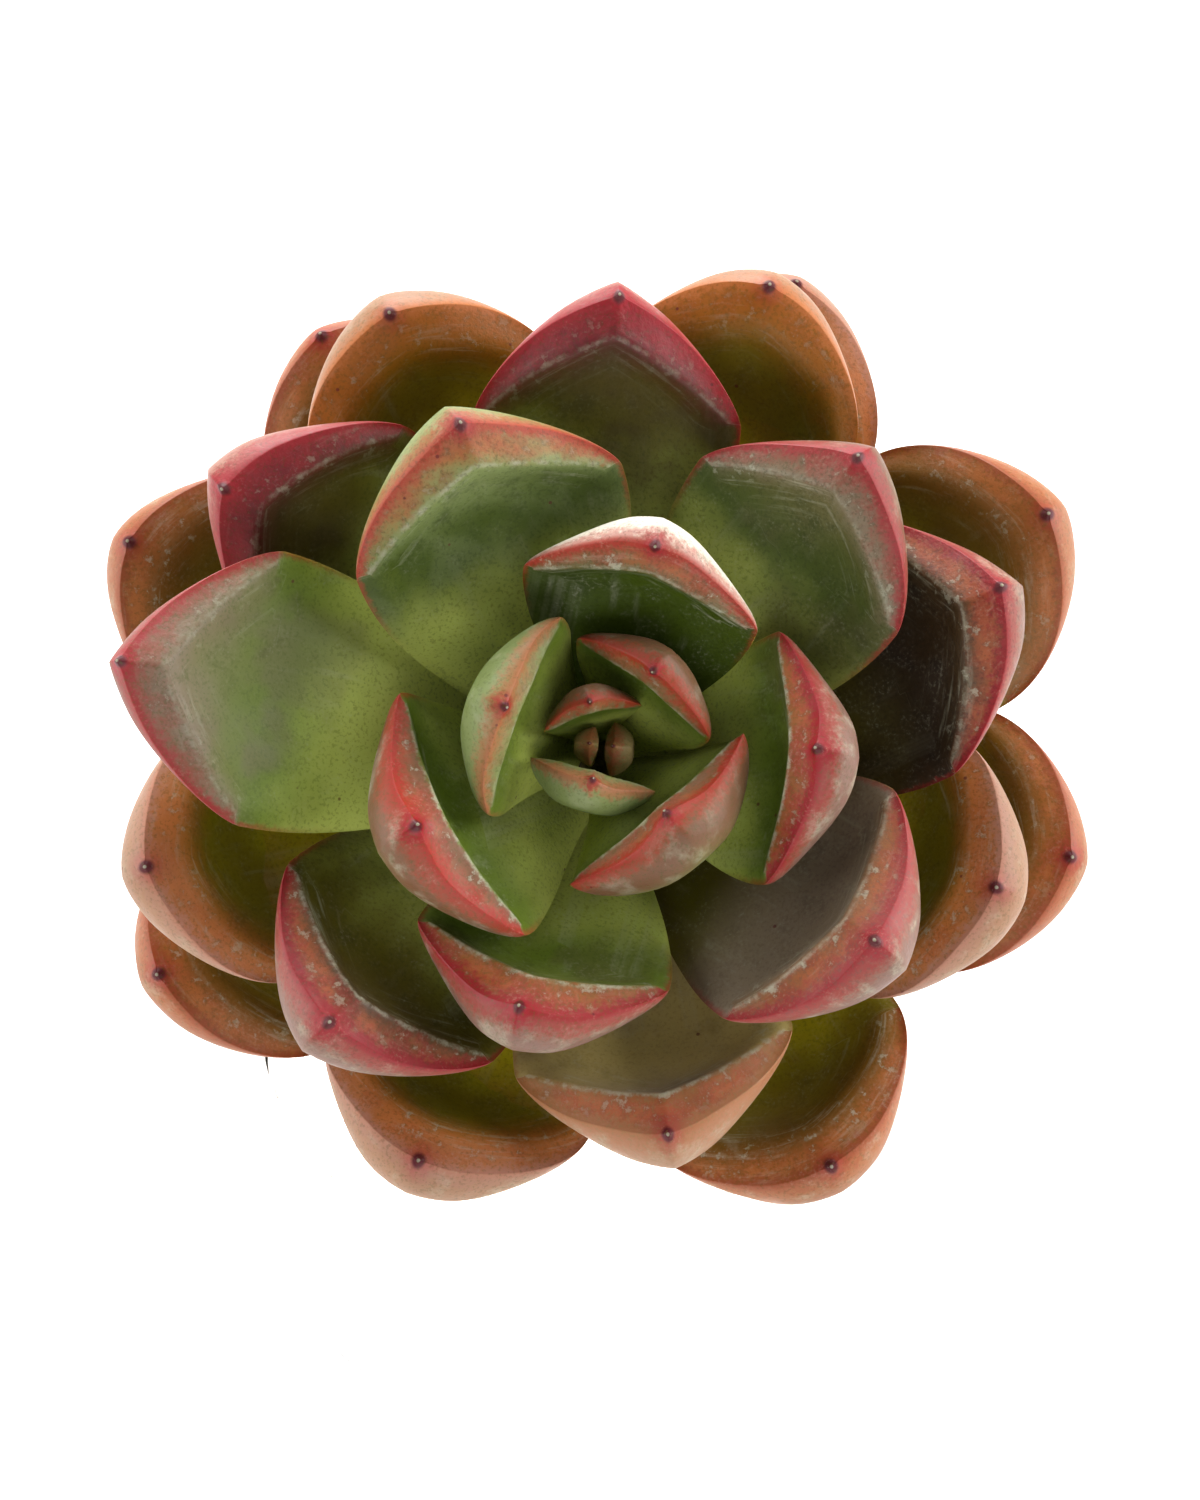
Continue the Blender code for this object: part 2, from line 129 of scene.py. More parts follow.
# Each leaf, innermost first: turn away from the golden angle, rise, curl and sway in degrees,
# then length, width and thickness in percent of the full-grown leaf
LEAVES = (
    (-6, 86, 9, 0, 18, 14, 28),
    (37, 86, 22, 0, 19, 19, 32),
    (10, 78, 20, 0, 30, 35, 34),
    (22, 76, 35, 5, 31, 45, 46),
    (42, 61, 52, 0, 38, 58, 51),
    (12, 62, 54, 6, 47, 73, 62),
    (26, 56, 79, 0, 46, 80, 78),
    (12, 49, 47, -2, 60, 84, 71),
    (8, 45, 58, -4, 60, 95, 89),
    (18, 39, 68, 5, 59, 89, 84),
    (3, 38, 31, -12, 80, 101, 100),
    (3, 33, 62, -7, 67, 91, 93),
    (14, 32, 35, 12, 84, 93, 91),
    (3, 31, 14, 2, 100, 97, 100),
    (18, 31, 59, 2, 79, 100, 100),
    (7, 27, 35, -7, 94, 95, 92),
    (5, 27, 58, 4, 86, 100, 100),
    (21, 26, 39, 11, 90, 100, 100),
    (4, 23, 51, 24, 96, 97, 100),
    (8, 22, 58, -2, 82, 100, 100),
    (20, 20, 40, 0, 100, 97, 99),
    (7, 20, 48, 0, 95, 100, 100),
    (16, 20, 59, 0, 87, 100, 100),
    (13, 17, 54, 0, 100, 100, 97),
    (6, 16, 65, 0, 91, 103, 100),
    (11, 15, 51, 0, 102, 103, 100),
    (0, 11, 50, 0, 102, 100, 99),
    (7, 14, 57, 0, 93, 103, 100),
    (-2, 8, 40, 0, 101, 100, 100),
    (-2, 11, 50, 0, 95, 100, 100),
    (4, 11, 48, 0, 93, 100, 100),
    (0, 6, 42, 0, 100, 100, 100),
)
YOUNG_LEAVES = 10
GROWN_LEAVES = 20

# Form by age: roundness and pointedness of the end, fullness of the sides, softness of the crest
FORMS = {
    "young": (1.4, 0.85, 2.2, 0.16),
    "grown": (1.5, 0.85, 2.6, 0.20),
    "old": (2.0, 0.64, 4.0, 1.0),
}

# Pot and filling, as in the solids
POT_RADIUS = 0.040
POT_HEIGHT = 0.039
BODY_RADIUS = 0.039
INNER_RADIUS = 0.035
POT_FLOOR = 0.0045
POT_CORNER = 0.0120
INNER_CORNER = 0.0080
BAND_HEIGHT = 0.0055
RIM_ROUNDING = 0.0016
FOOT_RADIUS = 0.0270
FOOT_HEIGHT = 0.0015
DRAIN_COUNT = 4
DRAIN_RADIUS = 0.0030
DRAIN_RING_RADIUS = 0.0150
SOIL_TOP = 0.0280
GRIT_TOP = 0.0318
CLEARANCE = 0.0003
STEM_ROOT = Vector((0.0035, 0.0130, 0.0200))
STEM_REACH = 0.45

# Stem's skin
SCAR_PITCH = 0.0023
SCAR_DEPTH = 0.0003
STEM_END_ROUNDING = 0.0012

# Grit's stones
STONE_ROW = 0.866  # distance between rows, by the distance in a row
STONE_SHIFT = 0.3
BED_BELOW_STONES = 0.0012

# Scales of the skins' noises, in 1/m
BROAD, PATCH, MOTTLE, SPECK, GRAIN = 95, 330, 700, 1500, 2600

# Stage
FLOOR_SIZE = 4.0
FLOOR_GLOW = 0.70
SKY_LIGHT = 0.20
SKY_SEEN = 0.85
LAMP_SIZE = 0.6
LAMPS = (
    ("back_light", (-0.10, 0.60, 0.50), 1.0), ("left_light", (-0.65, 0.00, 0.25), 0.45),
    ("right_light", (0.60, 0.10, 0.35), 0.65), ("front_light", (0.10, -0.75, 0.12), 0.35),
)
WARE_LAMP_SIZE = 0.5
WARE_LAMP_PLACE = Vector((0.0, -0.35, 0.60))
CAMERA_LENS = 100
CAMERA_ELEVATION = math.radians(50)
CAMERA_DISTANCE = 0.432
CAMERA_AIM = GROWING_TIP + Vector((0, -0.0006, -0.0005))

# Colour sets, each the tones of a leaf's seat (in most sets a painted glow that stands in for light coming
# through the leaf), face, outer face, inner facet, facet, margin, near back and far back
COLOUR_SETS = {
    "fresh": ("painted_glow", "green", "green", "sage", "petal", "salmon", "sage", "green"),
    "rosy": ("painted_glow", "green", "green", "rosewood", "salmon", "coral", "rosewood", "sage"),
    "frosted": ("painted_shade_green", "painted_shade_green", "painted_shade_green", "moss", "orange", "coral", "chalk", "chalk"),
    "bright": ("painted_glow", "painted_shade_green", "sage", "sage", "orange", "coral", "sage", "green"),
    "ruddy": ("painted_glow", "green", "moss", "tan", "orange", "crimson", "mauve", "rosewood"),
    "earthy": ("olive", "haze", "haze", "tan", "orange", "crimson", "mauve", "rosewood"),
    "dim": ("painted_glow", "painted_shade_green", "moss", "haze", "rosewood", "crimson", "rosewood", "sage"),
    "veiled": ("painted_glow", "green", "haze", "haze", "rosewood", "crimson", "rosewood", "sage"),
    "dusky": ("painted_glow", "olive", "umber", "umber", "orange", "crimson", "mauve", "cream"),
    "deep": ("olive", "char", "umber", "umber", "orange", "crimson", "mauve", "cream"),
    "crimson": ("painted_glow", "olive", "umber", "wine", "crimson", "crimson", "blush", "cream"),
    "warm": ("painted_light_straw", "painted_light_straw", "haze", "tan", "orange", "peach", "cream", "peach"),
    "golden": ("painted_glow_lime", "ochre", "ochre", "gold", "gold", "amber", "cream", "peach"),
    "peach": ("painted_glow_lime", "ochre", "ochre", "amber", "peach", "blush", "cream", "peach"),
    "tan": ("painted_glow_lime", "ochre", "bronze", "tan", "amber", "rust", "peach", "mauve"),
}

# Each leaf's finish: its set, then how strong its blush, its bloom and its crest are
LEAF_FINISHES = (
    ("fresh", 0.3, 0.2, 0.2), ("fresh", 0.4, 0.2, 0.2), ("rosy", 0.5, 0.3, 0.3), ("fresh", 0.8, 0.3, 0.4),
    ("rosy", 0.8, 0.5, 0.5), ("fresh", 0.8, 0.5, 0.4), ("rosy", 0.8, 0.5, 0.9), ("frosted", 0.8, 0.9, 0.6),
    ("rosy", 1.0, 0.9, 1.0), ("ruddy", 1.0, 0.8, 1.0), ("bright", 0.7, 0.35, 0.6), ("ruddy", 0.9, 0.7, 0.8),
    ("dim", 1.0, 0.6, 0.5), ("veiled", 0.9, 0.4, 0.4), ("earthy", 1.0, 0.9, 0.6), ("crimson", 1.0, 0.2, 0.3),
    ("dusky", 0.9, 0.7, 0.7), ("deep", 0.6, 0.7, 0.5), ("crimson", 1.0, 0.3, 0.3), ("warm", 0.6, 0.6, 0.8),
    ("golden", 0.4, 0.3, 0.1), ("peach", 0.4, 0.5, 0.1), ("peach", 0.5, 0.7, 0.2), ("golden", 0.3, 0.4, 0.0),
    ("peach", 0.5, 0.7, 0.1), ("tan", 0.3, 0.5, 0.1), ("tan", 0.4, 0.7, 0.1), ("tan", 0.4, 0.8, 0.2),
    ("peach", 0.3, 0.5, 0.1), ("tan", 0.5, 0.6, 0.2), ("tan", 0.6, 0.5, 0.2), ("tan", 0.6, 0.5, 0.2),
)


def tone(name, colour, what):
    return FloatVectorProperty(name=name, description=what, default=[part / 255 for part in colour],
                               subtype="COLOR_GAMMA", size=3, min=0, max=1)


class EcheveriaTones(PropertyGroup):
    # Painted light: a brighter yellow-green at a leaf's seat that stands in for light shining through the
    # leaf
    painted_glow: tone("Glow", (180, 190, 92), "Yellow-green of a leaf's seat, where light comes through")
    # Painted light: lime brightened at the old leaves' seats, standing in for light coming through between
    # the leaves
    painted_glow_lime: tone("Lime", (188, 182, 16), "Seat of the old leaves")
    green: tone("Green", (84, 102, 26), "Face of the young leaves")
    # Painted shade: a darkened green for the faces of leaves that turn away from the light
    painted_shade_green: tone("Fern", (52, 66, 8), "Face of the leaves that stand in shade")
    sage: tone("Sage", (112, 124, 74), "Young leaf under bloom")
    moss: tone("Moss", (94, 86, 54), "Outer face of the ruddy leaves")
    haze: tone("Haze", (112, 98, 80), "Outer face of the veiled leaves")
    olive: tone("Olive", (74, 68, 8), "Face of the older leaves")
    umber: tone("Umber", (62, 46, 26), "Outer face of the darkest leaves")
    tan: tone("Tan", (120, 72, 24), "Inner facet of the ruddy and the oldest leaves")
    amber: tone("Amber", (168, 94, 46), "Facet and margin of the oldest leaves")
    gold: tone("Gold", (140, 78, 12), "Facet of the brightest old leaves")
    # Painted light: the palest tan leaf's face and seat are lightened to make up for the shade on that face
    painted_light_straw: tone("Straw", (160, 142, 84), "Face of the palest tan leaf")
    ochre: tone("Ochre", (98, 90, 4), "Face of the old leaves")
    # Painted shade: this face is so dark because it turns away from the light
    char: tone("Char", (36, 26, 14), "Face of the darkest leaf")
    chalk: tone("Chalk", (206, 200, 184), "Back of the most bloomed leaf")
    bronze: tone("Bronze", (98, 76, 22), "Outer face of the driest leaves")
    rust: tone("Rust", (136, 58, 32), "Margin of the oldest leaves")
    petal: tone("Petal", (148, 112, 82), "Facet of the youngest leaves")
    salmon: tone("Salmon", (150, 84, 54), "Facet and margin of the young leaves")
    orange: tone("Orange", (154, 76, 38), "Facet of the grown leaves")
    coral: tone("Coral", (148, 36, 26), "Margin of the young leaves")
    crimson: tone("Crimson", (134, 16, 28), "Margin of the grown leaves, and the red by every hard point")
    wine: tone("Wine", (80, 12, 26), "Inner facet of the reddest leaves")
    rosewood: tone("Rosewood", (104, 72, 50), "Back of the grown leaves")
    mauve: tone("Mauve", (118, 88, 76), "Bloomed back of the ruddy leaves")
    blush: tone("Blush", (146, 102, 88), "Dusty pink of backs and margins")
    peach: tone("Peach", (142, 90, 56), "Back of the older leaves")
    cream: tone("Cream", (142, 106, 80), "Dusty back of the older leaves")
    bloom: tone("Bloom", (168, 168, 146), "Waxy bloom on a leaf")
    point: tone("Point", (74, 12, 22), "The leaf's hard point")
    glaze: tone("Glaze", (206, 205, 202), "Glaze of the bowl")
    clay: tone("Clay", (206, 190, 168), "Bare clay of the foot")
    grit: tone("Grit", (252, 250, 246), "Stones of the dressing")
    soil: tone("Soil", (62, 46, 34), "Potting soil")
    bark: tone("Bark", (128, 104, 66), "Skin of the stem")
    floor: tone("Floor", (196, 196, 196), "Floor of the stage")


class EcheveriaSizes(PropertyGroup):
    facet_depth: FloatProperty(name="Facet", description="Width of the facet at a full-grown leaf's tip",
                               default=0.0030, unit="LENGTH", min=0.001)
    point_size: FloatProperty(name="Point", description="Length of a leaf's hard point",
                              default=0.0006, unit="LENGTH", min=0)
    crest_height: FloatProperty(name="Crest", description="Height of the ridge between face and facet",
                                default=0.00018, unit="LENGTH", min=0)
    stone_size: FloatProperty(name="Stone", description="Middle size of the grit's stones",
                              default=0.0019, unit="LENGTH", min=0.001)
    stone_count: IntProperty(name="Stones", description="Most stones in the dressing",
                             default=1300, min=10, max=3000)
    ware_power: FloatProperty(name="Ware light", description="Power of the light on the bowl and the stones",
                              default=20.0, unit="POWER", min=0)
    light_power: FloatProperty(name="Light", description="Power of the main soft light",
                               default=13.0, unit="POWER", min=0)


# Nodes


class Finish:
    """A Principled material and short ways to add nodes to it."""

    def __init__(self, name):
        self.material = bpy.data.materials.new(name)
        self.material.use_nodes = True
        self.tree = self.material.node_tree
        self.shader = self.tree.nodes["Principled BSDF"]
        self.place = self.node("ShaderNodeTexCoord").outputs["Object"]

    def node(self, kind, **settings):
        made = self.tree.nodes.new(kind)
        for key, value in settings.items():
            setattr(made, key, value)
        return made

    def put(self, socket, value):
        if isinstance(value, bpy.types.NodeSocket):
            self.tree.links.new(value, socket)
        elif socket.type == "RGBA":
            socket.default_value = (*value[:3], 1)
        else:
            socket.default_value = value

    def set(self, name, value):
        self.put(self.shader.inputs[name], value)

    def attribute(self, name):
        return self.node("ShaderNodeAttribute", attribute_name=name).outputs["Fac"]

    def math(self, operation, first, second=0.0):
        made = self.node("ShaderNodeMath", operation=operation)
        self.put(made.inputs[0], first)
        self.put(made.inputs[1], second)
        return made.outputs[0]

    def plus(self, first, second):
        return self.math("ADD", first, second)

    def times(self, first, second):
        return self.math("MULTIPLY", first, second)

    def step(self, value, start, end, low=0.0, high=1.0):
        made = self.node("ShaderNodeMapRange", interpolation_type="SMOOTHSTEP")
        for socket, put in zip(made.inputs[:5], (value, start, end, low, high)):
            self.put(socket, put)
        return made.outputs[0]

    def mix(self, factor, first, second):
        made = self.node("ShaderNodeMix", data_type="RGBA", clamp_factor=True)
        self.put(made.inputs[0], factor)
        self.put(made.inputs[6], first)
        self.put(made.inputs[7], second)
        return made.outputs[2]

    def noise(self, scale, detail=2.0, roughness=0.5, where=None):
        made = self.node("ShaderNodeTexNoise")
        self.put(made.inputs["Vector"], where or self.place)
        made.inputs["Scale"].default_value = scale
        made.inputs["Detail"].default_value = detail
        made.inputs["Roughness"].default_value = roughness
        return made.outputs[0]

    def spots(self, scale):
        made = self.node("ShaderNodeTexVoronoi")
        self.put(made.inputs["Vector"], self.place)
        made.inputs["Scale"].default_value = scale
        return made.outputs["Distance"]

    def vector(self, x, y, z):
        made = self.node("ShaderNodeCombineXYZ")
        for socket, value in zip(made.inputs, (x, y, z)):
            self.put(socket, value)
        return made.outputs[0]

    def bump(self, height, strength, distance, onto=None):
        made = self.node("ShaderNodeBump")
        made.inputs["Strength"].default_value = strength
        made.inputs["Distance"].default_value = distance
        self.put(made.inputs["Height"], height)
        if onto:
            self.put(made.inputs["Normal"], onto)
        return made.outputs[0]


def linear(colour):
    """A display colour as the linear one that the nodes take."""
    return tuple(part / 12.92 if part <= 0.04045 else ((part + 0.055) / 1.055) ** 2.4 for part in colour)


def shade(tones, name):
    return linear(getattr(tones, name))


def darker(colour, share):
    return tuple(part * share for part in colour)


# Pieces


def add_piece(name, mesh, finish, *nodes, slot):
    piece = bpy.data.objects.new(name, mesh)
    bpy.context.scene.collection.objects.link(piece)
    mesh.materials.clear()
    mesh.materials.append(finish)
    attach(piece, BODY)
    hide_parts(*nodes)
    return piece


def mesh_from(name, bm, smooth=True):
    mesh = bpy.data.meshes.new(name)
    bm.to_mesh(mesh)
    bm.free()
    if smooth:
        mesh.shade_smooth()
    return mesh


def read_points(mesh):
    points = np.empty(len(mesh.vertices) * 3)
    mesh.vertices.foreach_get("co", points)
    return points.reshape(-1, 3)


def write_points(mesh, points):
    mesh.vertices.foreach_set("co", np.ascontiguousarray(points, dtype=np.float32).ravel())
    mesh.update()


def write_attribute(mesh, name, values):
    layer = mesh.attributes.new(name, "FLOAT", "POINT")
    layer.data.foreach_set("value", np.ascontiguousarray(values, dtype=np.float32))


# Leaves


def ease(share, power):
    return np.sin(np.clip(share, 0, 1) * math.pi / 2) ** power


def quarter_round(share):
    return np.sqrt(1 - (1 - np.clip(share, 0, 1)) ** 2)


def smooth(value, start, end):
    share = np.clip((value - start) / (end - start), 0, 1)
    return share * share * (3 - 2 * share)


def soft_min(first, second, blend):
    mix = np.clip(0.5 + 0.5 * (second - first) / blend, 0, 1)
    return second * (1 - mix) + first * mix - blend * mix * (1 - mix)


def side_width(share, width):
    return width / 2 * (BASE_WIDTH + (1 - BASE_WIDTH) * ease(share / WIDEST_AT, TAPER_POWER))


def half_width(share, width, form):
    past = np.clip((share - WIDEST_AT) / (1 - WIDEST_AT), 0, 1)
    return side_width(share, width) * (1 - past ** form[0]) ** form[1]


def bend(along, total, power, length, steps=32):
    """How far forward and aside a line that turns towards its end is, and its direction there."""
    middles = (np.arange(steps) + 0.5) / steps
    angles = total * (np.outer(np.maximum(along, 0), middles) / length) ** power
    step = along / steps
    forward = np.cos(angles).sum(1) * step
    aside = np.sin(angles).sum(1) * step
    return forward, aside, total * (np.maximum(along, 0) / length) ** power


def margin_distance(along, across, length, width, form):
    """Distance to the margin, and where along it that is: 0 at the tip, 1 at the widest place."""
    shares = 1 - (1 - np.linspace(0, 1, MARGIN_STEPS)) ** 1.6
    line = np.column_stack((shares * length, half_width(shares, width, form)))
    runs = np.concatenate(((0,), np.cumsum(np.linalg.norm(np.diff(line, axis=0), axis=1))))
    from_tip = runs[-1] - runs
    to_widest = np.interp(WIDEST_AT, shares, from_tip)
    start, end = line[:-1], line[1:]
    run = end - start
    point = np.column_stack((along, np.abs(across)))[:, None, :]
    share = np.clip(((point - start) * run).sum(2) / (run ** 2).sum(1), 0, 1)
    gaps = np.linalg.norm(point - start - share[:, :, None] * run, axis=2)
    nearest = gaps.argmin(1)
    rows = np.arange(len(along))
    place = from_tip[nearest] + (from_tip[nearest + 1] - from_tip[nearest]) * share[rows, nearest]
    return gaps[rows, nearest], place / to_widest


def stem_radius_at(below_tip):
    last = FIRST_LEAF_BELOW_TIP + LEAF_SPACING * (len(LEAVES) - 1)
    grown = (below_tip - FIRST_LEAF_BELOW_TIP) / (last - FIRST_LEAF_BELOW_TIP)
    return STEM_TIP_RADIUS + (STEM_RADIUS - STEM_TIP_RADIUS) * math.sqrt(min(max(grown, 0), 1))


def age_of(number):
    return "young" if number < YOUNG_LEAVES else "grown" if number < GROWN_LEAVES else "old"


def rosette_frame():
    return Matrix.Translation(GROWING_TIP) @ Matrix.Rotation(LEAN, 4, "X")


def leaf_mesh(number, sizes):
    """A ball drawn into the leaf, put in its place, with what its finish reads written on its points."""
    drift, rise, curl, sway = (math.radians(value) for value in LEAVES[number][:4])
    shares = [share / 100 for share in LEAVES[number][4:]]
    length, width, thickness = shares[0] * LEAF_LENGTH, shares[1] * LEAF_WIDTH, shares[2] * LEAF_THICKNESS
    form = FORMS[age_of(number)]
    crest_strength = LEAF_FINISHES[number][3]
    segments, rings = SMALL_GRID if number < SMALL_LEAVES else LEAF_GRID
    bm = bmesh.new()
    bmesh.ops.create_uvsphere(bm, u_segments=segments, v_segments=rings, radius=1)
    mesh = mesh_from(f"leaf_{number + 1:02d}_skin", bm)
    ball = read_points(mesh)
    to_tip = 1 - np.arccos(np.clip(ball[:, 2], -1, 1)) / math.pi
    share = 0.80 * (0.5 - 0.5 * np.cos(math.pi * to_tip)) + 0.20 * to_tip
    around = np.arctan2(ball[:, 1], ball[:, 0])
    side = np.sign(np.cos(around)) * np.abs(np.cos(around)) ** 0.8
    half = half_width(share, width, form) * quarter_round(share / BASE_ROUNDING)
    across = half * side
    along = share * length
    upper = ball[:, 1] > 1e-6
    margin, span = margin_distance(along, across, length, width, form)
    margin = np.where(np.abs(np.sin(around)) < 1e-6, 0, margin)

    grown = BASE_THICKNESS + (1 - BASE_THICKNESS) * ease(share / THICKEST_AT, THICKENING_POWER)
    full = thickness * grown * quarter_round(share / BASE_ROUNDING)
    tipward = smooth(span, *BACK_ROUNDING_CHANGES)
    back_round = width * (BACK_ROUNDING_SIDE + (BACK_ROUNDING_TIP - BACK_ROUNDING_SIDE) * tipward)
    below = -(1 - UPPER_SHARE) * full * quarter_round(margin / back_round) ** 1.15

    outward = np.abs(across) / side_width(share, width)
    level = UPPER_SHARE * full * (1 - np.clip(outward, 0, 1) ** form[2])
    dip = np.exp(-((share - HOLLOW_AT) / HOLLOW_SPREAD) ** 2)
    hollow = HOLLOW * shares[1] * dip * np.clip(1 - outward ** 2, 0, 1)
    facet = sizes.facet_depth * width / LEAF_WIDTH * np.sqrt(np.clip(1 - (span / FACET_ENDS) ** 2, 0, 1))
    shoulder = SHOULDER * width
    faceted = smooth(span, *FACET_FADES)
    facet_width = np.maximum(facet, shoulder)
    slope = soft_min(np.ones_like(margin), margin / facet_width, form[3])
    rounded = quarter_round(margin / shoulder)
    crest = np.exp(-((margin - facet_width) / (CREST_SPREAD * width)) ** 2) * faceted
    inner = smooth(margin, facet_width * 0.9, facet_width + FACET_BLENDS_INTO_FACE * width)
    above = level * (slope * faceted + rounded * (1 - faceted)) - hollow * inner
    above += sizes.crest_height * shares[1] * crest * crest_strength
    height = np.where(upper, above, below)
    height[margin == 0] = 0

    rng = random.Random(900 + number)
    phases = [rng.uniform(0, math.tau) for _ in range(6)]
    wave = (np.sin(along / 0.0061 + phases[0]) * np.cos(across / 0.0047 + phases[1])
            + 0.6 * np.sin(along / 0.0035 + across / 0.0029 + phases[2]))
    height += SKIN_WAVE * shares[1] * wave * smooth(margin, 0, WAVE_BAND)
    height += CUP * width * ease(share / 0.8, 1.5) * (2 * across / width) ** 2
    edge_wave = np.sin(span * 5.1 + phases[3] + 3 * np.sign(across)) * smooth(margin, WAVE_BAND, 0)
    height += MARGIN_WAVE * shares[1] * edge_wave * smooth(share, 0.3, 0.6) * smooth(span, 0, 0.4)

    from_point = np.sqrt((length - along) ** 2 + across ** 2 + (0.7 * height) ** 2)
    nub = np.exp(-(from_point / (POINT_SPREAD * (0.6 + 0.4 * shares[1]))) ** 2)
    along = along + sizes.point_size * (0.5 + 0.5 * shares[1]) * nub - TIP_BLUNTING * (1 - share) ** 14

    forward, aside, turned = bend(along, sway, SWAY_POWER, length)
    forward = forward - across * np.sin(turned)
    aside = aside + across * np.cos(turned)
    out, up, curled = bend(forward, curl, CURL_POWER, length)
    points = np.column_stack((out - height * np.sin(curled), aside, up + height * np.cos(curled)))

    below_tip = FIRST_LEAF_BELOW_TIP + LEAF_SPACING * number
    azimuth = FIRST_TURN + GOLDEN_ANGLE * number + drift
    foot = stem_radius_at(below_tip)
    seat = Vector((foot * math.cos(azimuth), foot * math.sin(azimuth), -below_tip))
    place = (rosette_frame() @ Matrix.Translation(seat) @ Matrix.Rotation(azimuth, 4, "Z")
             @ Matrix.Rotation(-rise, 4, "Y"))
    place = np.array(place)
    write_points(mesh, points @ place[:3, :3].T + place[:3, 3])

    # Millimetres from the margin (minus on the back), from the crest, from the middle and from the hard point
    write_attribute(mesh, "rim", np.where(upper | (margin == 0), margin, -margin) * 1000)
    write_attribute(mesh, "fold", np.where(faceted > 0.5, margin - facet_width, 0.004) * 1000)
    write_attribute(mesh, "reach", share)
    write_attribute(mesh, "across", across * 1000)
    write_attribute(mesh, "point", from_point * 1000)
    return mesh


def leaf_finish(number, tones):
    """Face, facet, back, margin and hard point in the leaf's tones, under its bloom, with a painted glow at
    the seat and a painted highlight on the hard point.
    """
    set_name, blush, bloom, crest = LEAF_FINISHES[number]
    picked = [shade(tones, name) for name in COLOUR_SETS[set_name]]
    seat, face, outer, inner, facet, margin, near_back, far_back = picked
    frost, red, hard = (shade(tones, name) for name in ("bloom", "crimson", "point"))
    size = LEAVES[number][5] / 100
    soft = 1 - crest
    f = Finish(f"leaf_{number + 1:02d}_skin")
    rim, fold = f.attribute("rim"), f.attribute("fold")
    reach, across, point = f.attribute("reach"), f.attribute("across"), f.attribute("point")
    away = f.math("ABSOLUTE", rim)
    broad = f.noise(BROAD, 3.0)
    patch = f.noise(PATCH, 4.0, 0.6)
    mottle = f.noise(MOTTLE, 5.0, 0.65)
    grain = f.noise(GRAIN, 2.0, 0.6)
    speck = f.math("SUBTRACT", f.noise(SPECK, 3.0, 0.7), 0.5)
    lengthways = f.noise(1.0, 4.0, 0.65, f.vector(f.times(reach, 4.0), f.times(across, 0.45), 7.3 * number))
    crosswise = f.noise(1.0, 5.0, 0.65, f.vector(f.times(fold, 1.5), f.times(across, 0.16), 3.1 * number))

    colour = f.mix(f.step(f.plus(reach, f.times(broad, 0.25)), 0.78, 1.08), face, outer)
    colour = f.mix(f.times(f.step(patch, 0.50, 0.75), 0.50), colour, darker(face, 0.5))
    colour = f.mix(f.times(f.step(broad, 0.52, 0.64), 0.35), colour, darker(outer, 0.7))
    # Painted light: towards the base the seat's brighter tone takes over, standing in for light coming
    # through the leaf
    painted_glow_ends = 0.84 + 0.12 * soft ** 3
    colour = f.mix(f.step(f.plus(reach, f.times(broad, 0.30)), painted_glow_ends - 0.34, painted_glow_ends), seat, colour)
    near_crest = f.plus(fold, f.times(mottle, 3.0))
    warm = f.times(f.step(near_crest, 6.0 * size * soft + 1.8, 0.6 - 1.2 * soft), 0.15 + 0.80 * soft)
    colour = f.mix(warm, colour, inner)
    streaks = f.times(f.step(crosswise, 0.52, 0.72), f.step(fold, 8.0 * size, 0.5))
    colour = f.mix(f.times(streaks, 0.60 * bloom), colour, frost)
    smear = f.times(f.step(lengthways, 0.54, 0.78), f.step(broad, 0.44, 0.62))
    colour = f.mix(f.times(smear, 0.30 * bloom), colour, frost)

    ragged = f.plus(fold, f.times(speck, 1.6))
    on_facet = f.step(ragged, (0.25 + 1.3 * soft) * size, -(0.35 + 1.2 * soft) * size)
    toward_crest = f.times(f.step(ragged, -1.5 * size, -0.1), 0.75)
    banded = f.mix(toward_crest, facet, inner)
    banded = f.mix(f.times(f.step(f.noise(150, 3.0), 0.46, 0.60), 0.6), banded, inner)
    banded = f.mix(f.times(f.step(patch, 0.46, 0.60), 0.45 * blush), banded, red)
    banded = f.mix(f.times(f.step(mottle, 0.46, 0.62), 0.45), banded, darker(facet, 0.45))
    margin_run = f.plus(away, f.plus(f.times(speck, 1.8), f.times(f.math("SUBTRACT", mottle, 0.5), 2.5)))
    banded = f.mix(f.step(margin_run, 0.15, 1.3 * size * blush + 0.5), margin, banded)
    reddened = f.times(f.step(f.plus(point, f.times(speck, 3.0)), 4.2 * size, 1.0 * size), 0.70 * blush)
    banded = f.mix(reddened, banded, red)
    colour = f.mix(f.times(on_facet, 0.94 - 0.45 * soft), colour, banded)
    line = f.times(f.step(f.math("ABSOLUTE", f.plus(fold, f.times(speck, 0.5))), 0.40, 0.04), 0.55 * crest)
    colour = f.mix(f.times(line, f.step(mottle, 0.38, 0.58)), colour, frost)
    flake = f.times(f.step(mottle, 0.58, 0.66), f.step(f.math("ABSOLUTE", fold), 3.2 * size, 0.6))
    colour = f.mix(f.times(flake, 0.55 * bloom), colour, frost)

    back = f.mix(f.step(f.plus(away, f.times(patch, 3.0)), 2.5, 8.0), near_back, far_back)
    by_margin = f.step(f.plus(away, f.times(speck, 1.8)), 1.3 * size, 0.1)
    back = f.mix(f.times(by_margin, 0.35 * blush), back, facet)
    by_point = f.step(f.plus(point, f.times(speck, 2.0)), 3.4 * size, 0.6)
    back = f.mix(f.times(by_point, 0.7 * blush), back, margin)
    back = f.mix(f.times(f.step(patch, 0.48, 0.72), 0.50 * bloom), back, frost)
    colour = f.mix(f.step(rim, 0.02, -0.12), colour, back)

